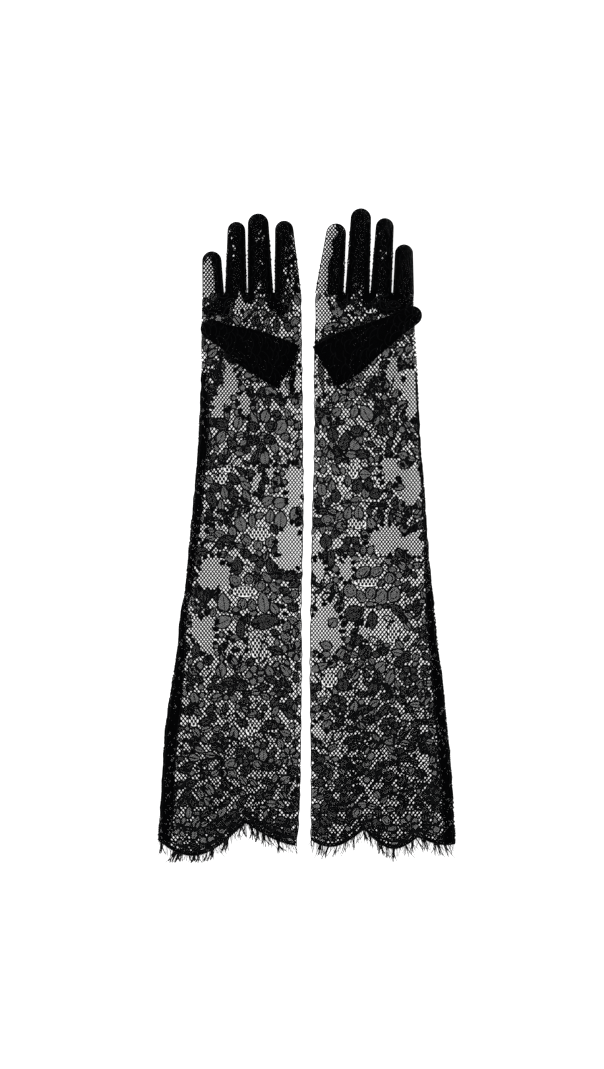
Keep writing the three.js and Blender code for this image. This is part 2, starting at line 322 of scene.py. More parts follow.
def weave(work, name, materials):
    """One mesh of all the strands in a work, its faces turned outwards."""
    bm = bmesh.new()
    for slot, (kind, strands) in enumerate(work.strands.items()):
        if strands:
            mesh = swept(strands, kind, work.side)
            mesh.polygons.foreach_set("material_index", np.full(len(mesh.polygons), slot, dtype=np.int32))
            bm.from_mesh(mesh)
            bpy.data.meshes.remove(mesh)
    ends = bmesh.ops.holes_fill(bm, edges=[e for e in bm.edges if e.is_boundary], sides=4)["faces"]
    for face in ends:
        face.material_index = face.verts[0].link_faces[0].material_index
    bmesh.ops.recalc_face_normals(bm, faces=bm.faces)
    mesh = bpy.data.meshes.new(name)
    bm.to_mesh(mesh)
    bm.free()
    areas, corners = np.zeros(len(mesh.polygons)), np.zeros(len(mesh.polygons), dtype=np.int32)
    mesh.polygons.foreach_get("area", areas)
    mesh.polygons.foreach_get("loop_total", corners)
    surface, work.triangles = areas.sum() * METRE**2, int((corners - 2).sum())
    for material in materials:
        mesh.materials.append(material)
    piece = bpy.data.objects.new(name, mesh)
    bpy.context.scene.collection.objects.link(piece)
    print(f"{name}: {work.triangles} triangles, {work.cloth / 1e6:.4f} m2 of cloth, "
          f"share {surface / 2 / work.cloth:.2f}")
    return piece


# %% [markdown]
# ## Cutting threads to shape
# A net is two families of straight parallel threads. Each thread is cut where it crosses the outline of its
# panel, and around the openings. A darned leaf is the same thing with a closer spacing and a small outline,
# so one function serves for both.

# %% Spans of a straight line inside a closed outline
def spans_inside(outline, origin, run):
    """Start and end distances, along a line, of its stretches inside a closed outline."""
    offset = outline - origin
    side = offset[:, 0] * run[1] - offset[:, 1] * run[0]
    far = offset @ run
    side2, far2 = np.roll(side, -1), np.roll(far, -1)
    cross = (side < 0) != (side2 < 0)
    hits = far[cross] + (far2[cross] - far[cross]) * side[cross] / (side[cross] - side2[cross])
    hits.sort()
    return list(zip(hits[::2], hits[1::2]))


def merged(spans):
    """Overlapping stretches joined."""
    out = []
    for a, b in sorted(spans):
        if out and a <= out[-1][1]:
            out[-1][1] = max(out[-1][1], b)
        else:
            out.append([a, b])
    return out


def common(first, second):
    """The stretches that are in both lists."""
    return [(max(a, c), min(b, d)) for a, b in first for c, d in second if min(b, d) > max(a, c)]


def without(spans, holes):
    """The stretches left when the holes are cut out."""
    for c, d in merged(holes):
        spans = [part for a, b in spans for part in ((a, min(b, c)), (max(a, d), b)) if part[1] > part[0]]
    return spans


def rows_across(outlines, run, pitch):
    """For each row of a family of lines, its stretches inside any of the outlines."""
    aside = np.array([-run[1], run[0]])
    rows = {}
    for outline in outlines:
        offsets = outline @ aside
        for row in range(math.ceil(offsets.min() / pitch), math.floor(offsets.max() / pitch) + 1):
            rows.setdefault(row, []).extend(spans_inside(outline, aside * row * pitch, run))
    return {row: merged(spans) for row, spans in rows.items()}


def inside(outline, points):
    """Which points lie in a closed outline."""
    x, y = points[:, 0][:, None], points[:, 1][:, None]
    ax, ay = outline[:, 0], outline[:, 1]
    bx, by = np.roll(ax, -1), np.roll(ay, -1)
    with np.errstate(divide="ignore", invalid="ignore"):
        crossing = ((ay > y) != (by > y)) & (x < (bx - ax) * (y - ay) / (by - ay) + ax)
    return crossing.sum(axis=1) % 2 == 1


# %% A panel: one layer of lace, its outline in plan, and the level that it lies at
LONGEST_STEP = 7.0  # of a thread over the curve of the glove
SHORTEST = 0.7  # cut ends shorter than this are dropped


class Panel:
    def __init__(self, outline, level, lift=None):
        self.outline = np.asarray(outline, float)
        self.level, self.cord_share, self.darning = level, 1.0, ANGLES[0]
        self.low, self.high = self.outline.min(axis=0), self.outline.max(axis=0)
        self.lift = lift or (lambda p, h: np.column_stack([p, self.level(p) + h]))
        x, y = self.outline.T
        self.area = abs(np.dot(x, np.roll(y, -1)) - np.dot(y, np.roll(x, -1))) / 2

    def touches(self, low, high):
        return bool((low < self.high).all() and (high > self.low).all())

    def hatch(self, work, angles, pitch, radius, shapes=None, holes=(), step=LONGEST_STEP):
        """Families of parallel threads across the panel, or across shapes on it."""
        for layer, angle in enumerate(angles):
            run = np.array([math.cos(math.radians(angle)), math.sin(math.radians(angle))])
            aside = np.array([-run[1], run[0]])
            panel_rows = rows_across([self.outline], run, pitch)
            shape_rows = None if shapes is None else rows_across(shapes, run, pitch)
            hole_rows = rows_across(holes, run, pitch)
            for row, spans in panel_rows.items():
                if shape_rows is not None:
                    spans = common(spans, shape_rows.get(row, []))
                if row in hole_rows:
                    spans = without(spans, hole_rows[row])
                for start, end in spans:
                    if end - start < SHORTEST:
                        continue
                    count = 2 + int((end - start) / step)
                    plan = aside * row * pitch + np.linspace(start, end, count)[:, None] * run
                    work.strand(self.lift(plan, layer * radius * 0.8), radius)

    def fill(self, work, outline, radius, height=0.08):
        """Darning inside one motif, which runs the other way in the back layer than in the palm layer."""
        whole = inside(self.outline, outline).all()
        run = np.array([math.cos(math.radians(self.darning)), math.sin(math.radians(self.darning))])
        aside = np.array([-run[1], run[0]])
        for row, spans in rows_across([outline], run, FILL_PITCH).items():
            origin = aside * row * FILL_PITCH
            if not whole:
                spans = common(spans, spans_inside(self.outline, origin, run))
            for start, end in spans:
                if end - start > SHORTEST:
                    count = 2 + int((end - start) / LONGEST_STEP)
                    plan = origin + np.linspace(start, end, count)[:, None] * run
                    work.strand(self.lift(plan, height), radius)

    def cord(self, work, points, radius, height=0.35):
        """A cord along a line in plan, cut off where it leaves the panel."""
        points = np.asarray(points, float)
        keep = inside(self.outline, points)
        if keep.all():
            work.strand(self.lift(points, height), radius, "cord")
            return
        edges = np.flatnonzero(np.diff(np.concatenate([[0], keep.astype(int), [0]])))
        for a, b in zip(edges[::2], edges[1::2]):
            if b - a > 1:
                work.strand(self.lift(points[a:b], height), radius, "cord")

    def dot(self, work, x, y, radius, height=0.3):
        """A picot: a knot of cord."""
        middle = np.array([[x, y]])
        if inside(self.outline, middle)[0]:
            plan = middle + np.outer(np.array([-0.9, 0, 0.9]) * radius, [0.8, 0.6])
            work.strand(self.lift(plan, height), np.array([0.4, 1, 0.4]) * radius, "cord")


# %% [markdown]
# ## Motifs
# Chantilly patterns are built from few shapes: pointed leaves, round petals, sprays of small leaves that end
# in knots, and the "caviar" in a flower's eye, where the net is cut away and knots hang in coarse bars. Each
# shape is drawn once here, in plan, and laid on any panel.

# %% Shapes in plan
def turned(points, x, y, angle):
    c, s = math.cos(math.radians(angle)), math.sin(math.radians(angle))
    return np.asarray(points) @ np.array([[c, s], [-s, c]]) + (x, y)


def leaf_outline(length, width, point=0.75, steps=9):
    """A leaf along x, pointed at its far end; point 1 is sharp and 0.5 round."""
    t = np.linspace(0, 1, steps)
    half = width / 2 * np.sin(np.pi * t**0.85) ** point
    x = (t - 0.5) * length
    return np.vstack([np.column_stack([x, half]), np.column_stack([x, -half])[::-1][1:-1]])


def ring_outline(rx, ry, steps=12):
    a = np.linspace(0, 2 * np.pi, steps, endpoint=False)
    return np.column_stack([rx * np.cos(a), ry * np.sin(a)])


def closed(outline):
    return np.vstack([outline, outline[:1]])


def bow(points, steps=10):
    """A smooth line through a few points."""
    points = np.asarray(points, float)
    t = np.arange(len(points))
    fine = np.linspace(0, len(points) - 1, steps * (len(points) - 1) // 2 + 2)
    slopes = np.gradient(points, axis=0)
    i = np.clip(fine.astype(int), 0, len(points) - 2)
    u = (fine - t[i])[:, None]
    return ((2 * u**3 - 3 * u**2 + 1) * points[i] + (u**3 - 2 * u**2 + u) * slopes[i]
            + (-2 * u**3 + 3 * u**2) * points[i + 1] + (u**3 - u**2) * slopes[i + 1])


# %% Thread sizes. Real net thread is about 0.15 mm on a 1 mm mesh, which is drawn coarser, so that it shows.
FINE_PITCH, FINE_RADIUS = 2.4, 0.45  # bare net, in the windows
OPEN_PITCH, OPEN_RADIUS = 2.8, 0.5  # open ground with large meshes, between the motifs
FILL_PITCH = 1.05  # darning in leaves and petals
FILL_RADII = (0.33, 0.43, 0.5)  # light, dark and solid
FINGER_PITCH, FINGER_RADIUS = 1.1, 0.52  # the solid darning of the fingers and thumbs
CLOSE_PITCH = 1.0  # the close net of seams, side walls and gussets
ANGLES = (52, 128)  # of the two families of net thread
CORD_RADIUS = 0.7  # round the leaves and petals
VEIN_RADIUS = 0.34  # inside them
BAR_PITCH = 3.4  # of the coarse bars in a flower's eye


class Motifs:
    """What is drawn on one layer of a glove: laid on every panel of that layer."""

    def __init__(self):
        self.fills = {radius: [] for radius in FILL_RADII}
        self.cords, self.dots, self.holes, self.netted = [], [], [], []

    def fill(self, outline, dark=0):
        self.fills[FILL_RADII[dark]].append(outline)

    def line(self, points, radius=CORD_RADIUS):
        self.cords.append((np.asarray(points, float), radius))

    def leaf(self, x, y, length, width, angle=90, dark=0, point=0.75, vein=True):
        outline = turned(leaf_outline(length, width, point, 9 if length > 7 else 6), x, y, angle)
        self.fill(outline, dark)
        self.line(closed(outline))
        if vein and length > 9:
            spine = np.array([[-0.5, 0], [-0.1, 0.04], [0.28, 0]]) * (length, width)
            self.line(turned(spine, x, y, angle), VEIN_RADIUS)

    def petal(self, x, y, length, width, angle=90, dark=0):
        self.leaf(x, y, length, width, angle, dark, point=0.5, vein=False)
        if length > 9:
            inner = turned(leaf_outline(length * 0.6, width * 0.5, 0.5, 5), x, y, angle)
            self.line(closed(inner), VEIN_RADIUS)

    def round(self, x, y, radius):
        outline = ring_outline(radius, radius, 9) + (x, y)
        self.fill(outline)
        self.line(closed(outline))

    def flower(self, x, y, radius, petals, turn, dark=0):
        """Petals round an eye of knots."""
        for k in range(petals):
            angle = turn + 360 * k / petals
            reach = np.array([math.cos(math.radians(angle)), math.sin(math.radians(angle))]) * radius * 0.62
            self.petal(x + reach[0], y + reach[1], radius * 0.8, radius * 4.2 / petals, angle, dark)
        for k in range(3):
            self.dots.append((x + 1.1 * math.cos(k * 2.1), y + 1.1 * math.sin(k * 2.1), 0.6))

    def caviar(self, x, y, rx, ry):
        """The net is cut away, and knots hang in coarse bars."""
        outline = ring_outline(rx, ry, 14) + (x, y)
        self.holes.append(outline)
        self.line(closed(outline), VEIN_RADIUS * 1.4)
        for row, py in enumerate(np.arange(-ry, ry, BAR_PITCH * 0.8)):
            for px in np.arange(-rx + (row % 2) * BAR_PITCH / 2, rx, BAR_PITCH):
                if (px / rx) ** 2 + (py / ry) ** 2 < 0.85:
                    self.dots.append((x + px, y + py, 1.35))
                    for dx in (BAR_PITCH / 2, -BAR_PITCH / 2):
                        bar = np.array([[px, py], [px + dx, py + BAR_PITCH * 0.8]]) + (x, y)
                        self.line(bar, VEIN_RADIUS * 1.2)

    def spray(self, stem, leaves, length, width, dark=1):
        """Small leaves in pairs along a bowed stem, each ending in a knot."""
        path = bow(stem)
        self.line(path)
        for k in range(leaves):
            at = (k + 0.6) / leaves * (len(path) - 1)
            i = min(int(at), len(path) - 2)
            here = path[i] + (path[i + 1] - path[i]) * (at - i)
            run = path[i + 1] - path[i]
            heading = math.degrees(math.atan2(run[1], run[0]))
            for turn in (48, -48):
                angle = heading + turn
                reach = np.array([math.cos(math.radians(angle)), math.sin(math.radians(angle))])
                size = length * (1 - 0.35 * k / leaves)
                middle = here + reach * (size / 2 + 1)
                self.leaf(middle[0], middle[1], size, width, angle, dark, vein=False)
                tip = here + reach * (size + 2)
                self.dots.append((tip[0], tip[1], 0.9))


def lay(motifs, panel, work):
    """Draws a layer's motifs on one panel. The back layer's cords are finer, as seen through the palm's."""
    for radius, outlines in motifs.fills.items():
        for outline in outlines:
            if panel.touches(outline.min(axis=0), outline.max(axis=0)):
                panel.fill(work, outline, radius)
    for points, radius in motifs.cords:
        if panel.touches(points.min(axis=0), points.max(axis=0)):
            panel.cord(work, points, radius * panel.cord_share)
    for x, y, radius in motifs.dots:
        panel.dot(work, x, y, radius)


def lace(panel, work, motifs, windows):
    """One layer of lace: fine net in the windows, open ground elsewhere, and the motifs."""
    near = [h for h in motifs.holes if panel.touches(h.min(axis=0), h.max(axis=0))]
    bodies = [o for outlines in motifs.fills.values() for o in outlines
              if panel.touches(o.min(axis=0), o.max(axis=0))]
    windows = [w for w in windows + motifs.netted if panel.touches(w.min(axis=0), w.max(axis=0))]
    panel.hatch(work, ANGLES, FINE_PITCH, FINE_RADIUS, shapes=windows, holes=near + bodies)
    panel.hatch(work, ANGLES, OPEN_PITCH, OPEN_RADIUS, holes=near + bodies + windows)
    lay(motifs, panel, work)
    work.cloth += panel.area


# %% [markdown]
# ## The pattern
# Where the eye rests, each leaf and flower has its own place: (x, y, length, width, angle, dark), with the
# angle turned from outwards, so 90 points at the fingers. Windows are the places where bare net shows.
# Between the two, smaller leaves are scattered until the cloth is as full as it should be.

# %% The right-hand glove's leaves, petals and windows
LEAVES = {
    "right": [
        (65, 198, 13, 7, 50, 0), (54.6, 203, 11, 7, 115, 0), (47, 197, 10, 8, 100, 1),
        (28, 193, 16, 6, 92, 1), (18, 193, 13, 6, 70, 1), (35, 188, 10, 5, 80, 1),
        (11.8, 161, 12, 5, 115, 1), (59.7, 136, 9, 6, 60, 0), (81, 150, 28, 5, 75, 1),
        (86, 147, 14, 5, 60, 1), (52, 132, 10, 6, 90, 1), (14.3, 128.7, 7, 5, 40, 1),
        (73.8, 112.7, 16, 5, 80, 0), (63, 104, 14, 9, 105, 0), (47.7, 109, 14, 9, 60, 0),
        (38, 110, 14, 10, 110, 0), (24.3, 100, 16, 13, 120, 0), (10, 77, 11, 7, 100, 0),
        (8, 67, 10, 7, 85, 0), (69, 84.7, 13, 9, 60, 1), (38.9, 71.3, 17, 9, 90, 0),
        (47.8, 72, 15, 6, 110, 1), (30, 82, 15, 8, 75, 0), (42, 42, 22, 6, 97, 1),
        (36, 32, 13, 9, 150, 0), (24.4, 30, 14, 11, 170, 0), (61, 11, 17, 11, 75, 0),
        (50.5, 14, 14, 7, 90, 0), (34, 18, 14, 8, 100, 0), (24.4, 14, 18, 12, 95, 0),
        (88, 34, 20, 9, 70, 1), (64, -28, 18, 10, 90, 1), (33, -28, 17, 9, 80, 1),
        (76.6, -61.8, 19, 12, 85, 0), (39.9, -61.7, 21, 11, 80, 0), (30, -67, 13, 8, 60, 0),
        (76.6, -79, 18, 12, 155, 0), (61, -85, 20, 8, 90, 1), (38, -79, 27, 14, 170, 1),
        (102, -106, 14, 8, 90, 1), (78.6, -123.7, 15, 10, 100, 0), (68, -116, 17, 9, 65, 0),
        (60, -120.8, 16, 9, 150, 0), (99, -52, 20, 7, 75, 1), (106, -50, 16, 6, 60, 1),
        (92, -55, 15, 6, 100, 1),
    ],
    "left": [
        (27.8, 207, 17, 11, 100, 0), (22, 231, 8, 6, 60, 0), (22, 191.8, 17, 7, 20, 0),
        (48.6, 206, 10, 7, 60, 0), (70, 211, 10, 6, 120, 0), (85, 169, 10, 7, 45, 0),
        (72.6, 167.8, 12, 7, 60, 0), (61, 161.6, 12, 7, 60, 0), (87.7, 156.5, 10, 9, 0, 1),
        (57.4, 135, 10, 8, 60, 1), (72.6, 138, 11, 6, 90, 0), (81.4, 130, 10, 6, 60, 0),
        (87.7, 120, 11, 8, 30, 0), (54.4, 112, 18, 12, 120, 0), (43.5, 114, 13, 8, 80, 0),
        (27.4, 113.5, 10, 9, 40, 0), (34.4, 86.4, 22, 10, 70, 1), (45.4, 84.4, 17, 11, 50, 0),
        (23.5, 92.4, 15, 10, 100, 1), (51.4, 74.4, 14, 9, 0, 1), (53.4, 56, 12, 10, 0, 0),
        (88.3, 73.4, 11, 8, 160, 0), (88.3, 65, 12, 8, 170, 0), (84.3, 44.6, 12, 7, 0, 0),
        (75.4, 44.6, 10, 4.5, 80, 0), (46.4, 45.5, 15, 10, 80, 1), (63.4, 38.5, 13, 10, 20, 1),
        (13.5, 42.5, 14, 9, 100, 0), (26.5, 36.5, 14, 9, 90, 1), (37.4, 20.6, 14, 8, 80, 0),
        (47.4, 20.6, 14, 9, 95, 0), (66.4, 16.5, 12, 9, 60, 0), (85.3, 15.5, 13, 8, 120, 0),
        (102.3, 20.6, 13, 7, 60, 0), (31.5, 8.6, 14, 9, 45, 0), (58.4, -13.4, 9, 7, 60, 0),
        (17.5, -5.4, 15, 11, 100, 1), (22, -22, 19, 8, 270, 1), (16, -18, 12, 5, 250, 1),
        (43.4, -71.2, 20, 15, 20, 1), (59.9, -78.2, 18, 9, 270, 1), (82.3, -68.2, 15, 9, 140, 1),
        (17.5, -101, 12, 8, 160, 0), (17.5, -109, 9, 6, 170, 0), (34.4, -80, 9, 5, 70, 0),
        (11.5, -121, 19, 8, 25, 0), (33.4, -137, 13, 12, 90, 1), (53.4, -107, 15, 12, 60, 1),
        (67.4, -121, 13, 11, 45, 0), (76.4, -130, 17, 9, 70, 0), (24, -80, 10, 9, 45, 0),
    ],
}
PETALS = {
    "right": [
        (56, -4, 12, 9, 50, 0), (44.7, -9, 10, 9, 90, 0), (33, -6, 12, 9, 130, 0),
        (66, -41, 12, 10, 40, 0), (53.4, -40, 10, 9, 90, 0), (42.8, -46, 11, 10, 120, 0),
        (59.2, -62.7, 11, 9, 95, 0), (50.5, -64, 12, 8, 90, 0), (33, 100, 12, 10, 150, 1),
        (50, 100, 12, 9, 30, 1), (34, 88, 12, 9, 210, 1), (50, 87, 13, 9, 330, 1),
        (42, 81, 12, 8, 270, 1),
    ],
    "left": [
        (39.4, -50.2, 14, 12, 110, 0), (51.4, -33.8, 16, 10, 35, 0), (63.8, -33, 13, 9, 30, 0),
        (76, -39, 11, 10, 90, 0), (58.4, -53, 12, 10, 100, 0), (68.4, -56, 16, 12, 80, 0),
        (79.8, -54, 16, 12, 70, 0), (49.6, -56, 13, 8, 115, 0), (46, 96, 13, 10, 20, 1),
    ],
}
CAVIAR = {
    "right": [
        (72.7, 61.5, 4.5, 4), (79, 51.5, 6, 5), (43, 1, 10, 6.5), (57.3, -51.5, 12, 5.5),
        (43.7, -104, 8, 14), (104, -170, 5, 6), (52, -178, 5, 7),
    ],
    "left": [
        (57.5, 208, 6, 4.5), (42.4, 59.4, 5, 8), (30.5, 50.5, 3.5, 4.5), (66, 54, 5, 7),
        (43.4, 10.6, 12, 5.5), (55.4, -43, 13, 4.5), (20.5, -133, 8, 7), (79.3, -89, 6, 10),
    ],
}
ROUNDS = {
    "right": ([(61, 152.7), (62.2, 145), (67.3, 126.2), (67, 118.6), (33, 41), (9, 119), (25.3, 62.5),
               (22.7, 56.8), (20.5, 49), (78.6, -91), (83.4, -101.5), (82.4, -108.3)], 2.6),
    "left": ([(58.4, 69.5), (34, 132), (37, -96), (39, -102.5), (15, 60), (11, 75), (92, 160)], 3.2),
}
STEMS = {
    "right": [
        [(74, 74), (62, 79), (51, 86), (42, 92)], [(66, 36), (50, 28), (36, 25), (22, 22)],
        [(91, -4), (76, -9), (62, -6), (56, 2)], [(28, 84), (20, 78), (16, 68), (18, 60)],
        [(42, 92), (46, 110), (50, 130)], [(59, -74), (54, -90), (56, -104), (63, -116)],
        [(59, -74), (74, -70), (84, -66)], [(20, 84), (10, 92), (5, 100)], [(86, 62), (78, 68), (70, 82)],
        [(60, -28), (56, -6)], [(40, -28), (36, -10)],
    ],
    "left": [
        [(53, 31), (70, 27), (90, 21), (108, 18)], [(53, 31), (36, 30), (22, 26), (6, 24)],
        [(34, 98), (40, 92), (52, 80), (58, 66)], [(42, 60), (36, 70), (28, 80), (24, 90)],
        [(50, -66), (66, -64), (84, -60)], [(50, -66), (46, -90), (40, -110)],
        [(28, 198), (40, 186), (44, 178)],
        [(62, 98), (78, 112), (92, 122)], [(60, 104), (74, 124), (80, 146)],
    ],
}
SPRAYS = {
    "right": [([(49, 30), (60, 27), (73, 22), (82, 13)], 5, 9, 4),
              ([(80, -45), (92, -62), (100, -72)], 3, 8, 4),
              ([(70, 172), (78, 160), (84, 148)], 3, 8, 4)],
    "left": [([(38, -60), (28, -57), (14, -50), (3, -41)], 4, 8.5, 3.6),
             ([(44, 181), (32, 178), (14, 181)], 4, 8, 4),
             ([(53, 30), (62, 24), (76, 20), (92, 14)], 4, 10, 4.6),
             ([(62, 150), (64, 138), (60, 126)], 3, 8, 5)],
}
# Windows of bare net: (x, y, half width, half height)
WINDOWS = {
    "right": [
        (60.7, 214, 6, 9), (73, 139, 11, 24), (56, 121, 7, 13), (29, 129, 3.5, 9), (22, 136, 3.5, 13),
        (8.7, 141, 5, 14), (81, 118, 8, 13), (12, 46, 10, 23), (47, 51, 5, 15), (33, 57, 5, 11),
        (81, 16, 7, 11), (96, 4, 4, 12), (15.6, -6, 13, 17), (17, -23, 13, 12), (85.5, -36, 17, 17),
        (96, -86, 14, 14), (90, -102, 7, 11), (71, -101, 4, 11), (59, -105, 4, 9), (24, -72, 4, 9),
        (80.5, -213, 3, 8), (83, -244, 4, 7), (110, -194, 5, 6), (12, -230, 4, 7), (92, 221, 5, 7),
    ],
    "left": [
        (13, 150, 7, 26), (15, 200, 9, 24), (38.5, 209, 6, 6), (79, 147, 9, 18), (96, 128, 8, 26),
        (24.5, 107, 4, 4), (76, 59, 10, 16), (95, 46, 11, 22), (74, -4, 19, 15), (8.5, -11, 6, 9),
        (36, -31, 8, 13), (11, -31, 8, 10), (17, -88, 18, 27), (50.5, -90, 6, 11), (11, -179, 7, 11),
        (40, -205, 4, 9), (81, -215, 4, 8), (102, -198, 4, 7), (110, -213, 4, 8), (49, -226, 4, 8),
        (98, -8, 10, 14),
    ],
}
# Darning carried down from the fingers between their roots
ROOT_DARNING = {
    "right": [
        (78, 212, 7, 12), (53, 221, 6, 9), (31, 216, 7, 9), (89, 207, 7, 6), (68, 222, 5, 8),
        (24, 208, 6, 7),
    ],
    "left": [(33, 218, 7, 9), (57, 216, 7, 8), (72, 212, 9, 10), (88, 212, 9, 12), (80, 222, 5, 6)],
}

# %% Scatter the smaller leaves between them
FULLEST = -112.0  # below this the pattern covers everything


def ragged(x, y, rx, ry, steps=36):
    """A window's edge is uneven, because it follows the tips of the leaves around it."""
    a = np.linspace(0, 2 * np.pi, steps, endpoint=False)
    reach = 1 + 0.1 * np.sin(3 * a + x) + 0.07 * np.sin(7 * a + y) + 0.04 * np.sin(11 * a + x + y)
    return np.column_stack([x + rx * reach * np.cos(a), y + ry * reach * np.sin(a)])


def in_window(hand, x, y, grow=1.0):
    return any(((x - wx) / (rx * grow + 1)) ** 2 + ((y - wy) / (ry * grow + 1)) ** 2 < 1
               for wx, wy, rx, ry in WINDOWS[hand])


def drift(x, y):
    """The way that the leaves lie, in degrees: it turns slowly over the cloth, as sprays do."""
    return 90 + 75 * math.sin(x / 16 + y / 41) + 60 * math.cos(y / 19 - x / 37)


def scatter(motifs, hand, dice, spots, closeness, low, high, flowers=0, tries=6000):
    """Flowers and leaves where nothing is yet, at least closeness apart."""
    for number in range(tries):
        y = dice.uniform(low, high)
        x = dice.uniform(along(INNER_EDGE[hand], y), along(OUTER_EDGE[hand], y))
        wants_flower = flowers > 0 and number < tries / 4
        reach = 18.0 if wants_flower else closeness * dice.uniform(0.75, 1.25)
        taken = np.array(spots) if spots else np.zeros((1, 3)) - 999
        if (np.hypot(taken[:, 0] - x, taken[:, 1] - y) < (taken[:, 2] + reach) / 2 * 0.92).any():
            continue
        if in_window(hand, x, y, 1.25 if wants_flower else 1.0) or y < float(hem_level(hand, x)[0]) + 4:
            continue
        spots.append((x, y, reach))
        angle, size, kind = drift(x, y) + dice.gauss(0, 38), reach * dice.uniform(1.25, 1.75), dice.random()
        dark = int(dice.random() < (0.42 if y > FULLEST else 0.62))
        if wants_flower:
            flowers -= 1
            motifs.flower(x, y, reach * 0.52, dice.choice((5, 6, 7)), dice.uniform(0, 60), dark)
        elif kind < 0.7:
            motifs.leaf(x, y, size, size * dice.uniform(0.48, 0.68), angle, dark)
        elif kind < 0.84:
            motifs.petal(x, y, size * 0.9, size * 0.7, angle, dark)
        elif kind < 0.95:
            outline = turned(leaf_outline(size * 1.1, size * 0.55), x, y, angle)
            motifs.netted.append(outline)
            motifs.line(closed(outline))
        else:
            motifs.round(x, y, size * 0.27)


def vines(motifs, hand, dice, count, low, high):
    """Long bowed stems that wander through the full parts of the pattern."""
    for _ in range(count):
        y = dice.uniform(low, high)
        x = dice.uniform(along(INNER_EDGE[hand], y), along(OUTER_EDGE[hand], y))
        heading, path = math.radians(drift(x, y)), [(x, y)]
        for _ in range(dice.randint(3, 6)):
            heading += dice.uniform(-0.7, 0.7)
            x, y = x + 8 * math.cos(heading), y + 8 * math.sin(heading)
            if in_window(hand, x, y, 0.9):
                break
            path.append((x, y))
        if len(path) > 2:
            motifs.line(bow(path))


def teeth(motifs, hand, dice):
    """Small dark leaf tips that reach into the windows from their edges."""
    for window in WINDOWS[hand]:
        x, y = window[:2]
        others = [w for w in WINDOWS[hand] if w != window]
        edge = ragged(*window, steps=max(4, int((window[2] + window[3]) / 1.9)))
        for px, py in edge:
            if any(((px - wx) / rx) ** 2 + ((py - wy) / ry) ** 2 < 1 for wx, wy, rx, ry in others):
                continue
            if dice.random() < 0.72:
                angle = math.degrees(math.atan2(y - py, x - px)) + dice.gauss(0, 28)
                motifs.leaf(px, py, dice.uniform(4, 6.6), dice.uniform(2.4, 3.4), angle, 2, vein=False)


def draw_pattern(hand):
    """The motifs of a glove. The layers are cut so that the pattern lies over itself, as a good pair is."""
    dice = random.Random(f"{hand} pattern")
    motifs, spots = Motifs(), []
    for x, y, length, width, angle, dark in LEAVES[hand]:
        motifs.leaf(x, y, length, width, angle, dark)
        spots.append((x, y, (length + width) / 2))
    for x, y, length, width, angle, dark in PETALS[hand]:
        motifs.petal(x, y, length, width, angle, dark)
        spots.append((x, y, (length + width) / 2))
    for stem in STEMS[hand]:
        motifs.line(bow(stem))
    for stem, leaves, length, width in SPRAYS[hand]:
        motifs.spray(stem, leaves, length, width)
        spots += [(x, y, 8) for x, y in stem]
    centres, radius = ROUNDS[hand]
    for x, y in centres:
        motifs.round(x, y, radius)
        spots.append((x, y, radius * 2.2))
    for x, y, rx, ry in CAVIAR[hand]:
        motifs.caviar(x, y, rx, ry)
        spots.append((x, y, (rx + ry) * 1.1))
    for x, y, rx, ry in ROOT_DARNING[hand]:
        motifs.fill(ragged(x, y, rx, ry), dark=2)
        spots.append((x, y, min(rx, ry)))
    teeth(motifs, hand, dice)
    scatter(motifs, hand, dice, spots, 7.4, FULLEST, 222, flowers=3)
    scatter(motifs, hand, dice, spots, 7.6, -296, FULLEST, flowers=9)
    vines(motifs, hand, dice, 34, -285, FULLEST + 20)
    vines(motifs, hand, dice, 10, FULLEST, 210)
    return motifs


PATTERN = {hand: draw_pattern(hand) for hand in SIDES}
OPEN_NET = {hand: [ragged(*window) for window in WINDOWS[hand]] for hand in SIDES}
for hand, motifs in PATTERN.items():
    filled = sum(map(len, motifs.fills.values()))
    print("pattern", hand, filled, "filled shapes,", len(motifs.cords), "cords")

# %% [markdown]
# ## Materials
# The net and the darning are fine matt viscose, dyed black with a faint blue-green cast. The cord is a
# softly twisted, brighter viscose, so it catches the light where the net doesn't. Both vary a little in
# depth of colour over a few millimetres, as dyed yarn does.

# %% Nodes
def linear(code):
    """An sRGB hex colour as linear RGBA."""
    parts = [int(code[i:i + 2], 16) / 255 for i in (1, 3, 5)]
    return tuple(p / 12.92 if p <= 0.04045 else ((p + 0.055) / 1.055) ** 2.4 for p in parts) + (1.0,)


def node(tree, kind, links=(), **settings):
    """Adds a node. A setting is a property of the node or one of its inputs; links are (output, input)."""
    made = tree.nodes.new(kind)
    for name, value in settings.items():
        if hasattr(made, name):
            setattr(made, name, value)
        else:
            made.inputs[name.replace("_", " ").title()].default_value = value
    for output, name in links:
        tree.links.new(output, made.inputs[name])
    return made


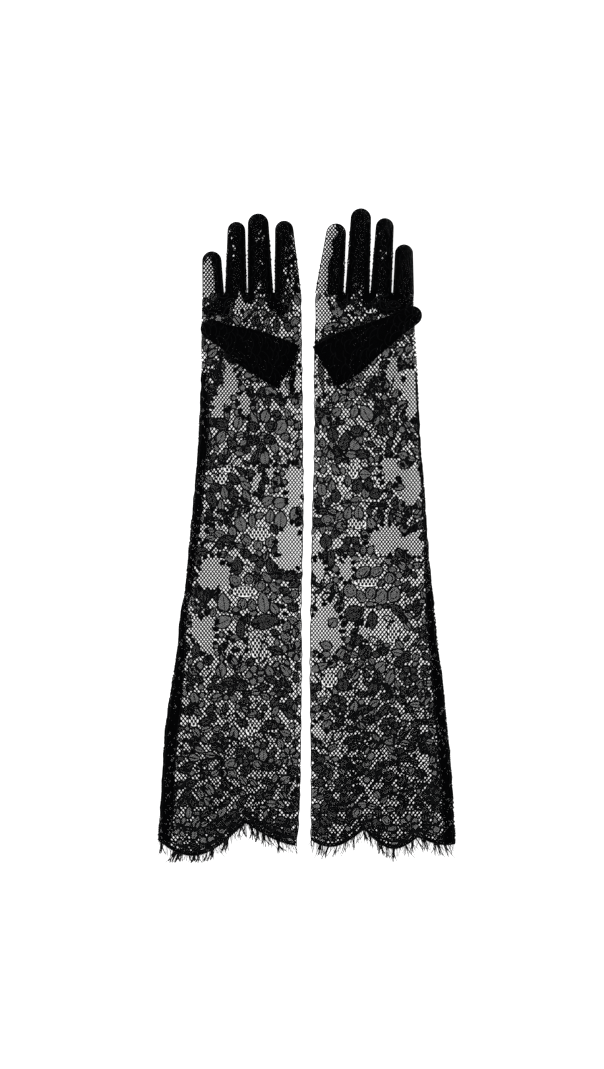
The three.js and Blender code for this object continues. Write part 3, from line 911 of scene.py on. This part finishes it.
def yarn(name, light, dark, roughness, gloss, sheen, grain_mm):
    """Dyed thread: two shades in soft patches, and a fine twist in the bump."""
    material = bpy.data.materials.new(name)
    material.use_nodes = True
    tree = material.node_tree
    shader = tree.nodes["Principled BSDF"]
    shader.inputs["Roughness"].default_value = roughness
    shader.inputs["IOR"].default_value = 1.53
    shader.inputs["Specular IOR Level"].default_value = gloss
    shader.inputs["Sheen Weight"].default_value = sheen
    shader.inputs["Sheen Roughness"].default_value = 0.4
    place = node(tree, "ShaderNodeTexCoord")
    on_piece = [(place.outputs["Object"], "Vector")]
    patches = node(tree, "ShaderNodeTexNoise", on_piece, scale=METRE / 9, detail=3.0)
    shade = node(tree, "ShaderNodeMix", [(patches.outputs["Fac"], "Factor")], data_type="RGBA")
    shade.inputs[6].default_value, shade.inputs[7].default_value = linear(dark), linear(light)
    tree.links.new(shade.outputs[2], shader.inputs["Base Color"])
    twist = node(tree, "ShaderNodeTexWave", on_piece, bands_direction="DIAGONAL",
                 scale=METRE / grain_mm / 2, distortion=1.0)
    bump = node(tree, "ShaderNodeBump", [(twist.outputs["Fac"], "Height")], strength=0.35, distance=0.0001)
    tree.links.new(bump.outputs["Normal"], shader.inputs["Normal"])
    return material


NET_YARN = yarn("matt viscose net yarn", "#07080a", "#020203", 0.85, 0.02, 0.0, 0.35)
CORD_YARN = yarn("twisted bright viscose cord", "#08090c", "#020304", 0.5, 0.08, 0.0, 0.6)
YARNS = [NET_YARN, CORD_YARN]

# %% [markdown]
# ## The sleeve and the hand
# Each glove has a palm layer and a back layer, cut in one length from hem to knuckles. They are made as two
# stretches that meet in the middle of the forearm, where nothing bends: one reaches over the elbow and the
# other over the wrist.

# %% Outlines of the stretches, in plan
def edge_points(hand, low, high, edge, steps=24):
    y = np.linspace(low, high, steps)
    return np.column_stack([along(edge[hand], y), y])


def upper_outline(hand):
    x0, x1 = along(INNER_EDGE[hand], HEM_SIDES), along(OUTER_EDGE[hand], HEM_SIDES)
    hem_x = np.linspace(x0, x1, 60)
    hem = np.column_stack([hem_x, hem_level(hand, hem_x)])
    outer = edge_points(hand, hem[-1, 1] + 2, SPLIT, OUTER_EDGE)
    inner = edge_points(hand, SPLIT, hem[0, 1] + 2, INNER_EDGE)
    return np.vstack([hem, outer, inner])


def hand_outline(hand):
    top = KNUCKLES + 1.0
    return np.vstack([edge_points(hand, SPLIT, top, OUTER_EDGE), edge_points(hand, top, SPLIT, INNER_EDGE)])


# %% Weave the layers
EDGE_CORD = 0.45  # radius of the cord on a folded edge


def fold_cord(panel, work, hand, low, high):
    """The lace doubles over at its folded edge, which shows as a darker line."""
    line = edge_points(hand, low, high, INNER_EDGE, 40)
    work.strand(panel.lift(line, -0.1), EDGE_CORD, "cord")


def hem_cords(panel, work, hand):
    """Cords that follow the scallops, with close darning between the lowest two."""
    x = np.linspace(along(INNER_EDGE[hand], HEM_SIDES) + 0.6, along(OUTER_EDGE[hand], HEM_SIDES) - 0.6, 90)
    level = hem_level(hand, x)
    for rise, radius in ((0.5, 0.5), (3.0, 0.36), (6.2, 0.42), (8.0, 0.3)):
        panel.cord(work, np.column_stack([x, level + rise]), radius)
    band = np.vstack([np.column_stack([x, level + 0.5]), np.column_stack([x, level + 3.2])[::-1]])
    panel.fill(work, band, FILL_RADII[1], height=0.1)


# What each layer's cords are multiplied by, and the way that its darning runs
LAYERS = {"palm": (1.0, ANGLES[0]), "back": (0.7, ANGLES[1])}
# The two stretches: name, outline, and the ends of the cord on the folded edge
STRETCHES = {"upper": ("sleeve", upper_outline, -286, SPLIT),
             "lower": ("hand_and_wrist", hand_outline, SPLIT, KNUCKLES)}

pieces = {}
for hand, side in SIDES.items():
    for layer, level in (("palm", sleeve_palm(hand)), ("back", flat_back)):
        for stretch, (name, outline, low, high) in STRETCHES.items():
            panel, work = Panel(outline(hand), level), Work(side)
            panel.cord_share, panel.darning = LAYERS[layer]
            lace(panel, work, PATTERN[hand], OPEN_NET[hand])
            work.flat = panel.high - panel.low
            if stretch == "upper":
                hem_cords(panel, work, hand)
            fold_cord(panel, work, hand, low, high)
            pieces[hand, stretch, layer] = (weave(work, f"{hand}_{name}_{layer}_layer", YARNS), work)

# %% [markdown]
# ## The side seam
# The two layers are lapped and sewn down the outer edge. There the lace lies three or four deep, so the seam
# reads as a dark band, with a row of stitches along its free edge.

# %% Seam bands: (y, width) from wrist to hem
SEAM = {
    "right": [(-290, 13), (-150, 12), (-90, 7), (-40, 6), (0, 8.5), (100, 9), (150, 7)],
    "left": [(-290, 11), (-150, 11), (-80, 8), (-30, 5.5), (20, 3), (100, 2), (150, 2)],
}

SEAM_ANGLES = (60, 120)
SEAM_RISE = 1.0  # clear of the palm lace's cords
SEAM_TOP = 150


def seam_outline(hand, low, high):
    y = np.linspace(low, high, 26)
    outer = along(OUTER_EDGE[hand], y) - 0.3
    return np.vstack([np.column_stack([outer, y]), np.column_stack([outer - along(SEAM[hand], y), y])[::-1]])


def seam_piece(hand, side, name, low, high):
    palm = sleeve_palm(hand)
    panel = Panel(seam_outline(hand, low, high), lambda p: palm(p) + SEAM_RISE)
    work = Work(side)
    panel.hatch(work, SEAM_ANGLES, CLOSE_PITCH, 0.36)
    y = np.linspace(low, high, 44)
    for inset, radius in ((0.6, 0.5), (2.2, 0.3)):
        line = np.column_stack([along(OUTER_EDGE[hand], y) - inset, y])
        panel.cord(work, line, radius)
    free = along(OUTER_EDGE[hand], y) - along(SEAM[hand], y) + 0.4
    panel.cord(work, np.column_stack([free, y]), 0.3)
    work.cloth += panel.area
    return weave(work, name, YARNS), work


for hand, side in SIDES.items():
    hem_corner = float(hem_level(hand, along(OUTER_EDGE[hand], HEM_SIDES) - 1)[0])
    pieces[hand, "upper", "seam"] = seam_piece(hand, side, f"{hand}_sleeve_side_seam", hem_corner + 1, SPLIT)
    pieces[hand, "lower", "seam"] = seam_piece(hand, side, f"{hand}_hand_side_seam", SPLIT, SEAM_TOP)

# %% [markdown]
# ## The eyelash fringe
# Beyond the scallops the warp ends are left loose. They are fine and uneven, and here and there several
# cling together into a thick lash.

# %% Fringe
FRINGE_END = -301.0  # the level that the longest lashes are cut to


def fringe_piece(hand, side):
    dice = random.Random(f"{hand} fringe")
    work = Work(side)
    palm = sleeve_palm(hand)
    x0, x1 = along(INNER_EDGE[hand], HEM_SIDES), along(OUTER_EDGE[hand], HEM_SIDES)
    for level in (palm, flat_back):
        x = x0 + 0.4
        while x < x1 - 0.3:
            clump = dice.random() < 0.2
            y = float(hem_level(hand, x)[0]) + 0.8
            spread = (x - (x0 + x1) / 2) / (x1 - x0)
            lean = spread * 0.5 + dice.gauss(0, 0.2)
            for _ in range(dice.randint(3, 6) if clump else 1):
                length = dice.uniform(10, 14.5) if clump else dice.uniform(6, 13)
                length = min(length, y - FRINGE_END + dice.uniform(-1.5, 0.5))
                start = x + (dice.uniform(-1.2, 1.2) if clump else 0)
                bend = dice.gauss(0, 0.22)
                t = np.linspace(0, 1, 5)
                plan = np.column_stack([start + length * (lean * t + bend * t * t), y - length * t])
                if clump:
                    plan[:, 0] += (x - start) * t * 0.8
                lift = np.maximum(level(plan[:1])[0] * (1 - 0.6 * t), BACK + 0.1)
                radius = (0.4 if clump else 0.22) * np.array([1, 1, 0.9, 0.8, 0.5])
                work.strand(np.column_stack([plan, lift]), radius, "cord")
            x += dice.uniform(1.3, 2.6)
    work.cloth += (x1 - x0) * 8
    return weave(work, f"{hand}_eyelash_fringe", YARNS), work


for hand, side in SIDES.items():
    pieces[hand, "fringe"] = fringe_piece(hand, side)

# %% [markdown]
# ## Fingers
# The fingers are cut from the fullest part of the lace, and at this size palm strip, back strip and side
# walls lie four deep, so they look almost solid. A few windows of net stay open.

# %% Where a finger isn't darned solid, in the glove's plan: (x, y, half width, half height)
FINGER_NET = {
    "right": [(91, 234, 6, 20)],
    "left": [(12, 244, 8, 30), (17, 268, 7, 16), (22, 280, 6, 8), (10, 222, 9, 16)],
}
FINGER_LACY = {
    "right": [
        (13, 246, 8, 34), (72, 258, 4, 28), (43, 276, 5, 9), (45, 256, 4, 6), (44, 223, 4, 8),
        (60, 224, 4, 8), (20, 224, 5, 8),
    ],
    "left": [(36, 262, 4, 24), (74, 259, 6, 8), (66, 262, 3.4, 16), (48, 226, 4, 7), (39, 224, 3, 6)],
}


def finger_pattern(hand, name, finger):
    """Small leaves over a finger, and the openings: in the lacy places the net shows inside the leaves."""
    dice = random.Random(f"{hand} {name}")
    motifs = Motifs()
    outline = finger.outline()
    low, high = outline.min(axis=0), outline.max(axis=0)
    spots, openings = [], []
    for _ in range(600):
        x, y = dice.uniform(low[0], high[0]), dice.uniform(low[1], high[1])
        crowded = any(math.hypot(x - a, y - b) < 4.4 for a, b in spots)
        if crowded or not inside(outline, np.array([[x, y]]))[0]:
            continue
        spots.append((x, y))
        here = [((x - a) / rx) ** 2 + ((y - b) / ry) ** 2 < 1 for a, b, rx, ry in FINGER_LACY[hand]]
        bare = [((x - a) / rx) ** 2 + ((y - b) / ry) ** 2 < 1 for a, b, rx, ry in FINGER_NET[hand]]
        if any(bare):
            continue
        angle = dice.uniform(40, 140)
        if any(here):
            small = leaf_outline(dice.uniform(4.4, 8.5), dice.uniform(2.6, 4.4), steps=6)
            shape = turned(small, x, y, angle)
            openings.append(shape)
            if dice.random() < 0.6:
                motifs.fill(shape)
            motifs.line(closed(shape), 0.36)
        else:
            length = dice.uniform(7, 13)
            bowed = np.array([[-0.5, 0], [-0.15, 0.16], [0.2, 0.13], [0.5, -0.05]]) * length
            motifs.line(bow(turned(bowed, x, y, angle), 5), 0.28)
    return motifs, openings


def picots(work, shape, dice):
    """Small loops along a finger's edge, which make its outline a little uneven."""
    outline = shape.outline(steps=40)
    for (ax, ay), (bx, by) in zip(outline, outline[1:]):
        side = math.hypot(bx - ax, by - ay)
        for _ in range(int(side / 2.2)):
            t, out = dice.random(), dice.uniform(-0.3, 0.45)
            x, y = ax + (bx - ax) * t, ay + (by - ay) * t
            middle = np.array([[x, y]]) + np.array([[ay - by, bx - ax]]) / side * -out
            plan = middle + np.outer([-0.8, 0, 0.8], [bx - ax, by - ay]) / side
            level = shape.lower(middle) * 0.5 + shape.upper(middle) * 0.5
            work.strand(np.column_stack([plan, level.repeat(3)]), np.array([0.3, 0.75, 0.3]), "cord")


def tube_of_lace(work, shape, motifs, net, lacy):
    """The two faces of a finger or thumb: close darning, net or open ground, then leaves and edge cords."""
    outline = shape.outline()
    for level, angle in ((shape.upper, ANGLES[0]), (shape.lower, ANGLES[1])):
        panel = Panel(outline, level)
        panel.hatch(work, ANGLES, FINE_PITCH, FINE_RADIUS, shapes=net)
        panel.hatch(work, ANGLES, OPEN_PITCH, OPEN_RADIUS, shapes=lacy, holes=net)
        panel.hatch(work, (angle,), FINGER_PITCH, FINGER_RADIUS, holes=net + lacy, step=4.5)
        if level == shape.upper:
            lay(motifs, panel, work)
        work.cloth += panel.area
    work.strand(Panel(outline, shape.upper).lift(outline, -0.3), EDGE_CORD, "cord")


def side_wall(work, shape, edge, reach=0.83, depth=4.4):
    """A fourchette: a strip of close net between the two faces, folded inwards along its middle."""
    flat_width = 2 * math.hypot(depth, (LOFT - BACK) / 2)

    def lift(points, height):
        u, t = points[:, 0] / flat_width, points[:, 1] / shape.length
        fold = 1 - np.abs(2 * u - 1)
        inset = 0.8 + depth * fold * (1 - 0.6 * smooth((t - 0.6) / 0.25)) + height
        middle = shape.root + np.outer(points[:, 1], shape.axis)
        plan = middle + (edge * np.maximum(shape.half(t) - inset, 0.4))[:, None] * -shape.across
        top = shape.upper(middle) - 0.9
        return np.column_stack([plan, BACK + 0.5 + (top - BACK - 0.5) * (1 - u)])

    corners = [(0, 0), (flat_width, 0), (flat_width, reach * shape.length), (0, reach * shape.length)]
    panel = Panel(corners, None, lift)
    panel.hatch(work, (ANGLES[0],), CLOSE_PITCH, 0.4, step=2.5)
    for u in (0.03, 0.5, 0.97):
        line = [(u * flat_width, v * shape.length) for v in np.linspace(0.01, reach - 0.01, 12)]
        panel.cord(work, line, 0.3, height=0.0)
    work.cloth += panel.area
    return flat_width


for hand, side in SIDES.items():
    for name in FINGERS[hand]:
        finger, work = make_finger(hand, name), Work(side)
        motifs, openings = finger_pattern(hand, name, finger)
        tube_of_lace(work, finger, motifs, [ragged(*place) for place in FINGER_NET[hand]], openings)
        picots(work, finger, random.Random(f"{hand} {name} edge"))
        walls = sum(side_wall(work, finger, edge) for edge in FORKS[name])
        work.flat = (2 * FINGERS[hand][name][1] + walls, finger.length)  # two strips and their side walls
        pieces[hand, name] = (weave(work, f"{hand}_{name}_finger_lace", YARNS), work)

# %% [markdown]
# ## Thumb, gore and quirks
# The thumb is darned as closely as the fingers and lies over two more layers, so it is the blackest part.

# %% Thumb
THUMB_SLOTS = {
    "right": [(29.4, 131, 2.4, 8), (22.5, 137, 2.2, 9)],
    "left": [(30, 133, 2, 6), (44, 142, 3, 7)],
}

for hand, side in SIDES.items():
    thumb, work = make_thumb(hand), Work(side)
    motifs, openings = finger_pattern(hand, "thumb", thumb)
    tube_of_lace(work, thumb, motifs, [], openings + [ragged(*place) for place in THUMB_SLOTS[hand]])
    picots(work, thumb, random.Random(f"{hand} thumb edge"))
    work.flat = (2 * thumb.widths[0][1], thumb.length)
    pieces[hand, "thumb"] = (weave(work, f"{hand}_thumb_lace", YARNS), work)

# %% The gore beside the crease, and the quirks at the feet of the forks
GUSSET_RADIUS = 0.32  # of their net thread
GORE_STEPS = 16
QUIRK_WIDTH, QUIRK_LENGTH = 10, 14  # of the flat strip that is folded into a fork

for hand, side in SIDES.items():
    palm, work = sleeve_palm(hand), Work(side)
    v = np.linspace(0.02, 0.98, GORE_STEPS)
    width = 0.8 + 5 * np.sin(np.pi * v)
    y = THUMB_ROOT[1] + (v - 0.5) * THUMB_ROOT_WIDTH
    bow_x = THUMB_ROOT[0] - 0.4
    straight, bowed = np.column_stack([np.full(GORE_STEPS, bow_x), y]), np.column_stack([bow_x - width, y])
    outline = np.vstack([straight, bowed[::-1]])
    gore = Panel(outline, lambda p: palm(p) + 0.6)
    gore.hatch(work, ANGLES, CLOSE_PITCH, GUSSET_RADIUS)
    work.strand(gore.lift(closed(outline), 0.1), 0.35, "cord")
    work.cloth += gore.area
    names = list(FINGERS[hand])
    for lower, upper in zip(names, names[1:]):
        a, b = FINGERS[hand][lower], FINGERS[hand][upper]
        fork_x = (a[0] + a[1] / 2 + b[0] - b[1] / 2) / 2

        def lift(points, height, fork_x=fork_x):
            u, v = points[:, 0] / QUIRK_WIDTH, points[:, 1] / QUIRK_LENGTH
            reach = 1.6 + 4.4 * (1 - np.abs(2 * u - 1)) + height
            return np.column_stack([fork_x - reach * np.cos(np.pi * v),
                                    KNUCKLES - 0.3 - reach * np.sin(np.pi * v),
                                    BACK + 0.5 + (LOFT - BACK - 1.4) * (1 - u)])

        corners = [(0, 0), (QUIRK_WIDTH, 0), (QUIRK_WIDTH, QUIRK_LENGTH), (0, QUIRK_LENGTH)]
        quirk = Panel(corners, None, lift)
        quirk.hatch(work, ANGLES, CLOSE_PITCH, GUSSET_RADIUS, step=2.0)
        work.cloth += quirk.area
    pieces[hand, "gussets"] = (weave(work, f"{hand}_gore_and_quirks", YARNS), work)

# %% [markdown]
# ## Hand the pieces over
# The fringe and the gussets ride on the body they are sewn to; the pieces that span a joint are only fixed
# where they lie. Each piece stands for the plain solids that hold its place in the frame.

# %% Bodies, replaced solids and cloth facts
def bend(piece, first, second, start, end, side):
    start, end = ((side * p[0] / METRE, p[1] / METRE, p[2] / METRE) for p in (start, end))
    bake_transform(piece)
    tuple(start)
    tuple(end)


ELBOW_BEND = 24.0  # how far either side of the elbow's line the span across the joint reaches
WRIST_BEND = 16.0  # and either side of the wrist's


def declare(piece, work):
    """Prints what a piece of lace was cut to, and its area of cloth."""
    width, length = (float(size) / METRE for size in work.flat)
    print(f"{piece.name}: cut {width:.4f} by {length:.4f} m, {work.cloth / METRE**2:.5f} m2")


for hand, side in SIDES.items():
    forearm, palm_body = f"{hand}_forearm", f"{hand}_hand"
    at_elbow = [(64, ELBOW - ELBOW_BEND, 4), (64, ELBOW + ELBOW_BEND, 4)]
    at_wrist = [(50, WRIST - WRIST_BEND, 4), (50, WRIST + WRIST_BEND, 4)]
    seam, _ = pieces[hand, "upper", "seam"]
    bend(seam, "upper_arms", forearm, *at_elbow, side)
    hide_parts(f"{hand}_upper_arm_side_seam")
    fringe, _ = pieces[hand, "fringe"]
    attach(fringe, "upper_arms")
    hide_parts(f"{hand}_palm_fringe", f"{hand}_back_fringe")
    cuff_seam, _ = pieces[hand, "lower", "seam"]
    bend(cuff_seam, forearm, palm_body, *at_wrist, side)
    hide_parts(f"{hand}_forearm_side_seam")
    gussets, _ = pieces[hand, "gussets"]
    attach(gussets, palm_body)
    forks = (("index", "middle"), ("middle", "ring"), ("ring", "little"))
    quirks = [f"{hand}_{a}_{b}_quirk" for a, b in forks]
    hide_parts(f"{hand}_thumb_gore", *quirks)
    for layer in ("palm", "back"):
        piece, work = pieces[hand, "upper", layer]
        bend(piece, "upper_arms", forearm, *at_elbow, side)
        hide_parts(f"{hand}_upper_arm_{layer}_lace")
        declare(piece, work)
        piece, work = pieces[hand, "lower", layer]
        bend(piece, forearm, palm_body, *at_wrist, side)
        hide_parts(f"{hand}_forearm_{layer}_lace", f"{hand}_hand_{layer}_lace")
        declare(piece, work)
    for name in FINGERS[hand]:
        piece, work = pieces[hand, name]
        x = FINGERS[hand][name][0]
        bend(piece, palm_body, f"{hand}_{name}", (x, KNUCKLES - 1, 4), (x, KNUCKLES + 9, 4), side)
        walls = [f"{hand}_{name}_{'inner' if edge < 0 else 'outer'}_fourchette" for edge in FORKS[name]]
        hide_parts(f"{hand}_{name}_palm_strip", f"{hand}_{name}_back_strip", *walls)
        declare(piece, work)
    piece, work = pieces[hand, "thumb"]
    bend(piece, palm_body, f"{hand}_thumb", (THUMB_ROOT[0], THUMB_ROOT[1], 9),
         (THUMB_ROOT[0] + 10, THUMB_ROOT[1], 9), side)
    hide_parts(f"{hand}_thumb_outer_lace", f"{hand}_thumb_inner_lace")
    declare(piece, work)

# %% [markdown]
# ## Floor, light and camera
# The gloves lie on a plain white surface under a big soft light, seen from straight above.

# %% Floor
def plain(name, color, roughness):
    material = bpy.data.materials.new(name)
    material.use_nodes = True
    shader = material.node_tree.nodes["Principled BSDF"]
    shader.inputs["Base Color"].default_value = linear(color)
    shader.inputs["Roughness"].default_value = roughness
    return material


bpy.ops.mesh.primitive_plane_add(size=12.0, location=(0, 0, -0.0004))
floor = bpy.context.object
floor.name = "floor"
floor.data.materials.append(plain("opal light table", "#fbfbfb", 0.9))
glow = floor.data.materials[0].node_tree.nodes["Principled BSDF"].inputs
glow["Emission Color"].default_value, glow["Emission Strength"].default_value = (1, 1, 1, 1), 0.85

# %% Light
bpy.context.scene.view_settings.view_transform = "Standard"  # a white table stays white
world = bpy.data.worlds.new("studio")
bpy.context.scene.world = world
world.use_nodes = True
world.node_tree.nodes["Background"].inputs["Color"].default_value = (1, 1, 1, 1)
world.node_tree.nodes["Background"].inputs["Strength"].default_value = 0.6


def area_light(name, energy, size, location, angle):
    data = bpy.data.lights.new(name, "AREA")
    data.energy, data.size = energy, size
    lamp = bpy.data.objects.new(name, data)
    lamp.location, lamp.rotation_euler = location, angle
    bpy.context.scene.collection.objects.link(lamp)


area_light("softbox overhead", 14, 2.6, (0, 0, 2.2), (0, 0, 0))
area_light("softbox left", 10, 1.6, (-1.6, 0.6, 1.5), (0, math.radians(-47), 0))

# %% Camera: straight above, far away, so that the pair shows without perspective
PICTURE = (604, 1069)
MM_ACROSS = 555.7  # what the picture is to show, in millimetres
DISTANCE = 3.0
camera_data = bpy.data.cameras.new("camera")
camera_data.sensor_fit = "VERTICAL"
camera_data.sensor_height = 36.0
camera_data.lens = 36.0 * DISTANCE * METRE / (MM_ACROSS * PICTURE[1] / PICTURE[0])
camera_data.clip_end = 20
camera = bpy.data.objects.new("camera", camera_data)
camera.location = (-0.0046, 0.0009, DISTANCE)
bpy.context.scene.collection.objects.link(camera)
bpy.context.scene.camera = camera

# %% Finish
print("triangles in all:", sum(work.triangles for _, work in pieces.values()))
